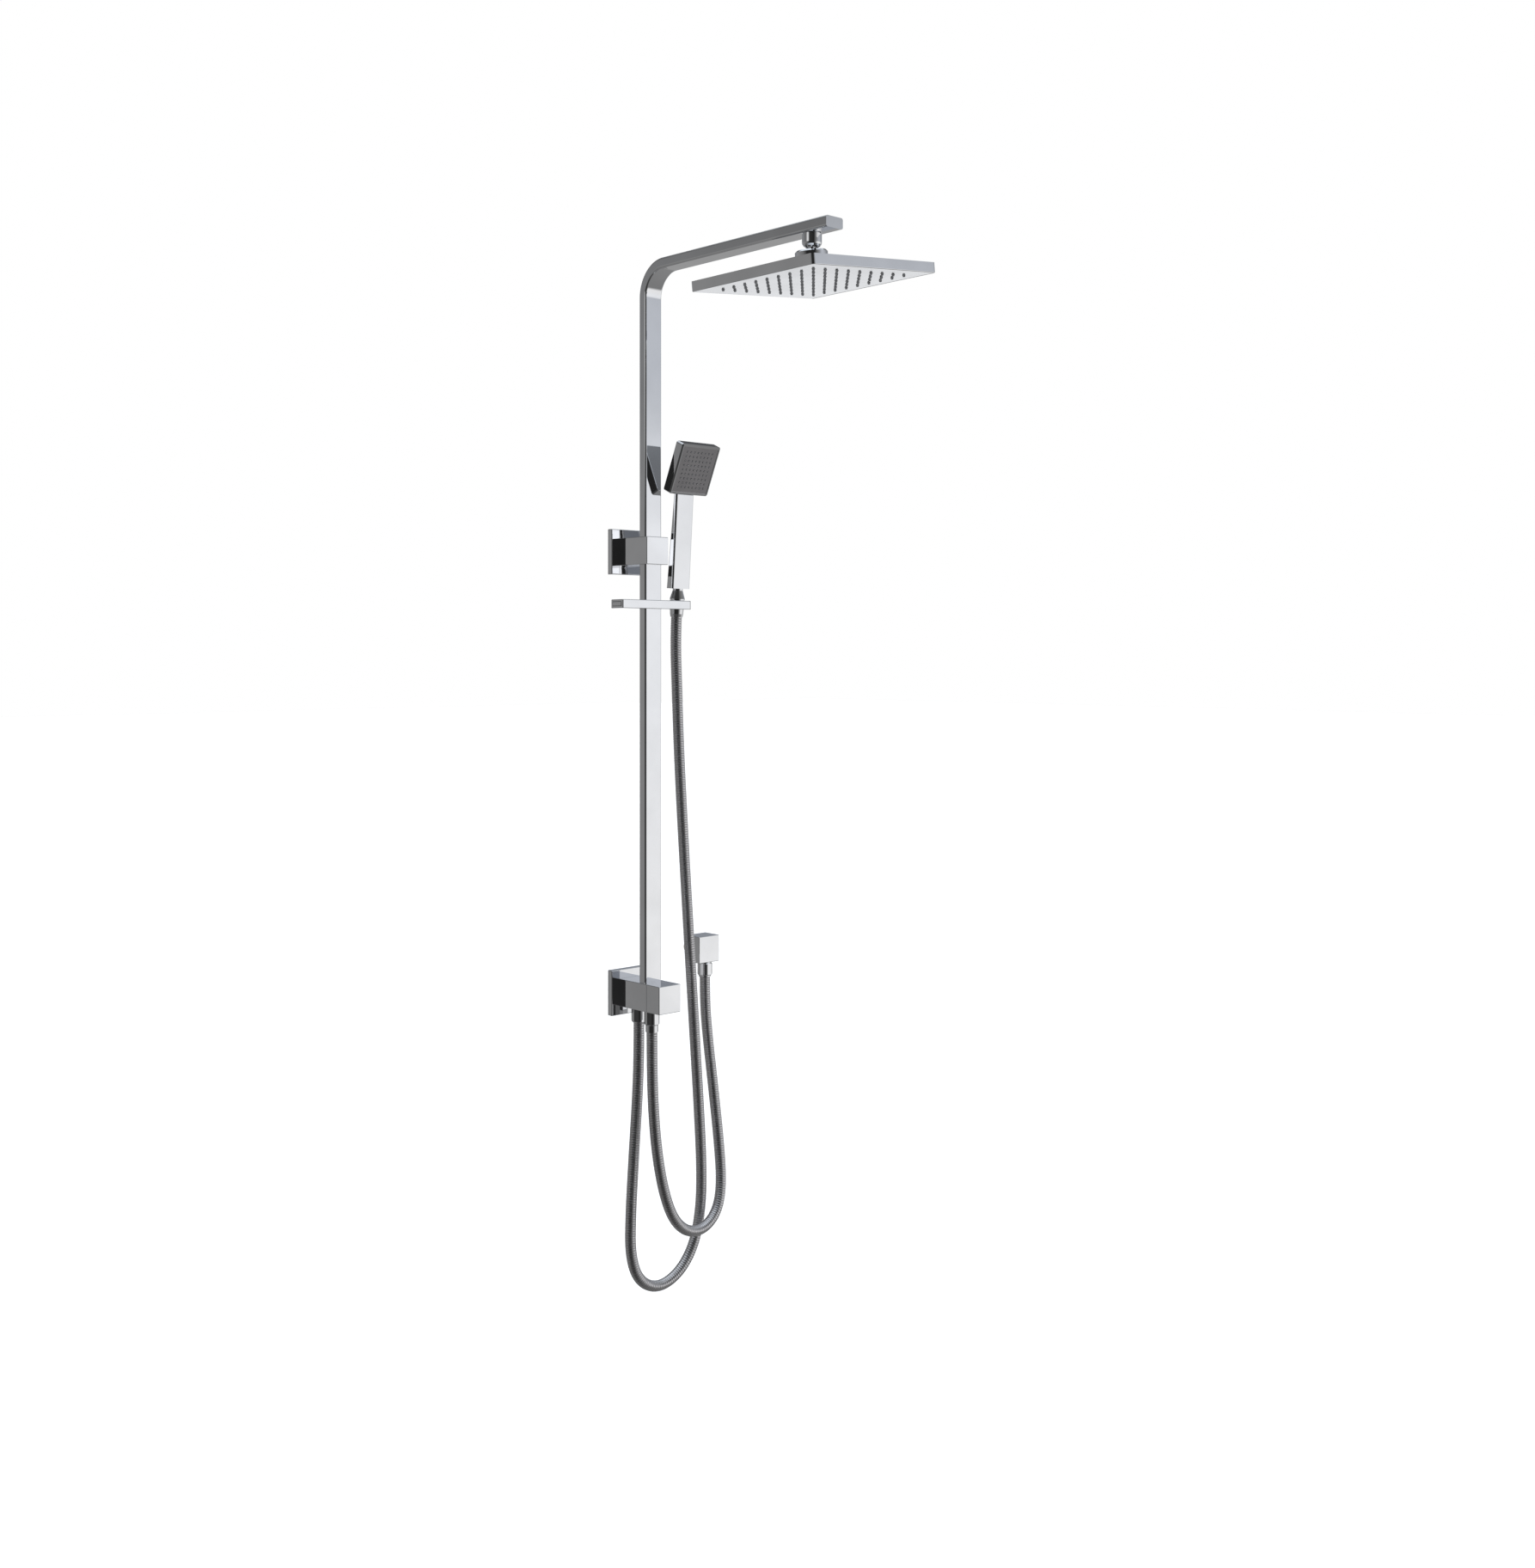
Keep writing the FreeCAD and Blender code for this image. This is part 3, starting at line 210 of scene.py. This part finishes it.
# ---- Materials ----------------------------------------------------------------------------------
class Tree:
    """A material whose nodes are added one line at a time."""

    def __init__(self, name, metallic, roughness, color=None):
        self.material = bpy.data.materials.new(name)
        self.material.use_nodes = True
        self.tree = self.material.node_tree
        self.shader = self.tree.nodes["Principled BSDF"]
        self.shader.inputs["Metallic"].default_value = metallic
        self.shader.inputs["Roughness"].default_value = roughness
        if color:
            self.shader.inputs["Base Color"].default_value = (*color, 1)
        self.place = self.add("ShaderNodeTexCoord").outputs["Object"]

    def add(self, kind, **settings):
        node = self.tree.nodes.new(kind)
        for key, value in settings.items():
            if hasattr(node, key):
                setattr(node, key, value)
            else:
                node.inputs[key.replace("_", " ")].default_value = value
        return node

    def link(self, a, b):
        self.tree.links.new(a, b)

    def noise(self, scale, detail=4.0, stretch=None, roughness=0.5):
        node = self.add("ShaderNodeTexNoise", Scale=scale, Detail=detail, Roughness=roughness)
        source = self.place
        if stretch:
            mapping = self.add("ShaderNodeMapping")
            mapping.inputs["Scale"].default_value = stretch
            self.link(self.place, mapping.inputs["Vector"])
            source = mapping.outputs["Vector"]
        self.link(source, node.inputs["Vector"])
        return node.outputs["Fac"]

    def span(self, value, low, high, at=(0.3, 0.7)):
        node = self.add("ShaderNodeMapRange")
        node.inputs["From Min"].default_value, node.inputs["From Max"].default_value = at
        node.inputs["To Min"].default_value, node.inputs["To Max"].default_value = low, high
        self.link(value, node.inputs["Value"])
        return node.outputs["Result"]

    def colors(self, value, stops):
        ramp = self.add("ShaderNodeValToRGB")
        points = ramp.color_ramp.elements
        while len(points) < len(stops):
            points.new(0.5)
        for point, (place, color) in zip(points, stops):
            point.position = place
            point.color = (*color, 1)
        self.link(value, ramp.inputs["Fac"])
        return ramp.outputs["Color"]

    def bump(self, value, distance, strength=1.0, after=None):
        node = self.add("ShaderNodeBump", Distance=distance, Strength=strength)
        self.link(value, node.inputs["Height"])
        if after:
            self.link(after, node.inputs["Normal"])
        return node.outputs["Normal"]

    def set(self, socket, value):
        self.link(value, self.shader.inputs[socket])


def plated(name, tint, low, high, ripple=0.000008):
    """Bright plating: a deep mirror with faint haze, drying marks and the polished metal's slight waves."""
    t = Tree(name, 1.0, low, tint)
    haze = t.noise(38.0, 5.0)
    marks = t.noise(240.0, 3.0)
    mixed = t.add("ShaderNodeMath", operation="MULTIPLY")
    t.link(haze, mixed.inputs[0])
    t.link(marks, mixed.inputs[1])
    t.set("Roughness", t.span(mixed.outputs[0], low, high, (0.15, 0.4)))
    shade = [c * 0.94 for c in tint]
    t.set("Base Color", t.colors(t.noise(22.0, 3.0), [(0.35, shade), (0.65, tint)]))
    waves = t.bump(t.noise(9.0, 2.0), ripple * 12, 0.25)
    t.set("Normal", t.bump(marks, ripple * 0.2, 0.2, waves))
    return t.material


def wound_strip(name):
    """The hose's interlocked strip: bright crests, and painted shade that darkens the grooves."""
    t = Tree(name, 1.0, 0.30, (0.66, 0.65, 0.66))
    dirt = t.noise(150.0, 4.0)
    t.set("Roughness", t.span(dirt, 0.25, 0.36))
    point = t.add("ShaderNodeNewGeometry").outputs["Pointiness"]
    # Painted shade: the pointiness ramp colours the concave grooves dark and keeps the crests bright.
    t.set("Base Color", t.colors(point, [(0.455, (0.30, 0.29, 0.30)), (0.51, (0.74, 0.73, 0.74))]))
    t.set("Normal", t.bump(t.noise(600.0, 2.0), 0.00003, 0.4))
    return t.material


def machined(name, tint, roughness):
    t = Tree(name, 1.0, roughness, tint)
    rings = t.noise(90.0, 3.0, (1.0, 1.0, 12.0))
    t.set("Roughness", t.span(rings, roughness * 0.75, roughness * 1.3))
    dark = [c * 0.8 for c in tint]
    t.set("Base Color", t.colors(t.noise(60.0, 4.0), [(0.3, dark), (0.7, tint)]))
    t.set("Normal", t.bump(rings, 0.00005, 0.4))
    return t.material


def moulded(name, tint, roughness, grain=320.0, depth=0.00004):
    t = Tree(name, 0.0, roughness, tint)
    fine = t.noise(grain, 4.0)
    t.set("Roughness", t.span(fine, roughness * 0.85, min(1.0, roughness * 1.15)))
    dark = [c * 0.82 for c in tint]
    t.set("Base Color", t.colors(t.noise(45.0, 3.0), [(0.3, dark), (0.7, tint)]))
    t.set("Normal", t.bump(fine, depth, 0.5))
    return t.material


def satin_face(name, tint):
    """The handset's face plate: satin plating, not a mirror."""
    t = Tree(name, 1.0, 0.13, tint)
    fine = t.noise(420.0, 3.0)
    t.set("Roughness", t.span(fine, 0.10, 0.17))
    dark = [c * 0.9 for c in tint]
    t.set("Base Color", t.colors(t.noise(35.0, 3.0), [(0.35, dark), (0.65, tint)]))
    t.set("Normal", t.bump(fine, 0.00002, 0.4))
    return t.material


materials = {
    "chrome": plated("bright_plating", (0.90, 0.905, 0.92), 0.015, 0.06),
    "head_underside": plated("polished_sheet", (0.86, 0.865, 0.875), 0.05, 0.12, 0.00003),
    "plated_plastic": plated("plated_plastic", (0.88, 0.885, 0.90), 0.02, 0.07),
    "handset_face": satin_face("satin_plate", (0.70, 0.68, 0.70)),
    "hose": wound_strip("wound_strip"),
    "brass": machined("turned_brass", (0.78, 0.58, 0.28), 0.28),
    "steel": machined("stainless", (0.62, 0.63, 0.65), 0.26),
    "wall_casting": machined("die_casting", (0.52, 0.53, 0.54), 0.5),
    "seal_rubber": moulded("seal_rubber", (0.018, 0.018, 0.02), 0.75),
    "nozzle_silicone": moulded("nozzle_silicone", (0.16, 0.16, 0.165), 0.5),
    "inner_plastic": moulded("inner_plastic", (0.70, 0.70, 0.67), 0.45),
    "ceramic": moulded("lapped_ceramic", (0.86, 0.85, 0.80), 0.12, 900.0, 0.00001),
}
for entry in frame["record"]["subparts"]:
    data = nodes[entry["node"]].data
    data.materials.clear()
    data.materials.append(materials[entry["material_slot"]])
for piece in (supply_hose, hand_hose, tail):
    piece.data.materials.append(materials["hose"])

# ---- Studio -------------------------------------------------------------------------------------
FLOOR_Z = -1.0


def make_floor():
    mesh = bmesh.new()
    half = 40.0
    signs = ((-1, -1), (1, -1), (1, 1), (-1, 1))
    corners = [mesh.verts.new((x * half, y * half, FLOOR_Z)) for x, y in signs]
    mesh.faces.new(corners)
    data = bpy.data.meshes.new("floor")
    mesh.to_mesh(data)
    mesh.free()
    floor = bpy.data.objects.new("floor", data)
    scene.collection.objects.link(floor)
    t = Tree("pale_floor", 0.0, 0.8, (0.9, 0.9, 0.9))
    t.set("Base Color", t.colors(t.noise(3.0, 3.0), [(0.3, (0.90, 0.90, 0.90)), (0.7, (0.93, 0.93, 0.93))]))
    data.materials.append(t.material)
    floor.visible_glossy = False


make_floor()


def add_sun(name, strength, angle, tilt, turn):
    data = bpy.data.lights.new(name, "SUN")
    data.energy = strength
    data.angle = math.radians(angle)
    lamp = bpy.data.objects.new(name, data)
    lamp.rotation_euler = (math.radians(tilt), 0, math.radians(turn))
    lamp.visible_glossy = False
    scene.collection.objects.link(lamp)


add_sun("soft_overhead", 2.4, 80.0, 12.0, -30.0)
add_sun("soft_front", 0.8, 60.0, 60.0, -43.0)


class Sky:
    """The studio as the plating mirrors it: pale and dark panels by compass angle, in bands of height.

    It is fixed to the room, and zero degrees is where the photographer stood."""

    def __init__(self):
        world = bpy.data.worlds.new("studio")
        scene.world = world
        world.use_nodes = True
        self.tree = world.node_tree
        self.tree.nodes.clear()

    def math(self, operation, a, b=None):
        node = self.tree.nodes.new("ShaderNodeMath")
        node.operation = operation
        for socket, value in zip(node.inputs, (a, b)):
            if value is None:
                continue
            if isinstance(value, (int, float)):
                socket.default_value = value
            else:
                self.tree.links.new(value, socket)
        return node.outputs[0]

    def ramp(self, value, stops):
        node = self.tree.nodes.new("ShaderNodeValToRGB")
        points = node.color_ramp.elements
        while len(points) < len(stops):
            points.new(0.5)
        for point, (degrees, level, blue) in zip(points, stops):
            point.position = degrees / 360 + 0.5
            point.color = (level * (1 - blue), level * (1 - 0.3 * blue), level * (1 + blue), 1)
        self.tree.links.new(value, node.inputs[0])
        return node.outputs[0]

    def mix(self, share, a, b):
        node = self.tree.nodes.new("ShaderNodeMix")
        node.data_type = "RGBA"
        for socket, value in ((node.inputs[0], share), (node.inputs[6], a), (node.inputs[7], b)):
            if isinstance(value, tuple):
                socket.default_value = value
            else:
                self.tree.links.new(value, socket)
        return node.outputs[2]

    def step(self, value, low, high):
        node = self.tree.nodes.new("ShaderNodeMapRange")
        node.interpolation_type = "SMOOTHSTEP"
        node.inputs["From Min"].default_value = low
        node.inputs["From Max"].default_value = high
        self.tree.links.new(value, node.inputs["Value"])
        return node.outputs["Result"]


def make_world():
    sky = Sky()
    tree = sky.tree
    split = tree.nodes.new("ShaderNodeSeparateXYZ")
    tree.links.new(tree.nodes.new("ShaderNodeTexCoord").outputs["Generated"], split.inputs[0])
    x, y, z = split.outputs
    sin_a, cos_a = math.sin(AZIMUTH), math.cos(AZIMUTH)
    away = sky.math("ADD", sky.math("MULTIPLY", x, sin_a), sky.math("MULTIPLY", y, cos_a))
    near = sky.math("MULTIPLY", away, -1.0)
    right = sky.math("SUBTRACT", sky.math("MULTIPLY", x, cos_a), sky.math("MULTIPLY", y, sin_a))
    turn = sky.math("ADD", sky.math("DIVIDE", sky.math("ARCTAN2", right, near), math.tau), 0.5)
    floor_side = sky.ramp(turn, [(-180, 0.24, 0.0), (-118, 0.20, 0.0), (-62, 0.16, 0.0), (-34, 0.05, 0.0),
                                 (24, 0.05, 0.0), (60, 0.20, 0.0), (110, 0.22, 0.0), (180, 0.24, 0.0)])
    low = sky.ramp(turn, [(-180, 0.33, 0.0), (-150, 0.28, 0.0), (-118, 0.21, 0.0), (-93, 0.22, 0.0),
                          (-62, 0.15, 0.0), (-34, 0.02, 0.0), (24, 0.02, 0.0), (44, 0.20, 0.0),
                          (66, 0.82, 0.0), (92, 0.90, 0.0), (125, 0.50, 0.0), (180, 0.33, 0.0)])
    level = sky.ramp(turn, [(-180, 1.25, 0.02), (-170, 1.15, 0.02), (-158, 0.52, 0.01), (-140, 0.34, 0.0),
                            (-118, 0.27, 0.0), (-93, 0.235, 0.0), (-62, 0.17, 0.0), (-34, 0.02, 0.0),
                            (24, 0.015, 0.0), (44, 0.20, 0.0), (66, 0.86, 0.02), (92, 0.92, 0.02),
                            (116, 0.80, 0.01), (140, 0.42, 0.0), (160, 0.55, 0.01), (171, 1.15, 0.02),
                            (180, 1.25, 0.02)])
    upper = sky.ramp(turn, [(-180, 0.25, 0.10), (-140, 0.24, 0.06), (-110, 0.26, 0.03), (-90, 0.17, 0.0),
                            (-68, 0.20, 0.0), (-58, 0.90, 0.0), (-44, 0.90, 0.0), (-32, 0.04, 0.0),
                            (22, 0.015, 0.0), (44, 0.18, 0.0), (60, 0.32, 0.05), (78, 0.55, 0.06),
                            (100, 0.55, 0.06), (130, 0.36, 0.06), (180, 0.25, 0.10)])
    high = sky.ramp(turn, [(-180, 0.09, 0.05), (-120, 0.13, 0.0), (-62, 0.12, 0.0), (-34, 0.03, 0.0),
                           (24, 0.03, 0.0), (60, 0.16, 0.0), (90, 0.22, 0.0), (130, 0.14, 0.0),
                           (180, 0.09, 0.05)])
    color = sky.mix(sky.step(z, -0.41, -0.25), floor_side, low)
    color = sky.mix(sky.step(z, -0.20, 0.06), color, level)
    color = sky.mix(sky.step(z, 0.06, 0.17), color, upper)
    color = sky.mix(sky.step(z, 0.19, 0.33), color, high)
    color = sky.mix(sky.step(z, 0.58, 0.85), color, (0.80, 0.86, 0.93, 1))
    seen = tree.nodes.new("ShaderNodeLightPath").outputs["Is Camera Ray"]
    color = sky.mix(seen, color, (1.0, 1.0, 1.0, 1))
    background = tree.nodes.new("ShaderNodeBackground")
    tree.links.new(color, background.inputs["Color"])
    output = tree.nodes.new("ShaderNodeOutputWorld")
    tree.links.new(background.outputs[0], output.inputs["Surface"])


make_world()
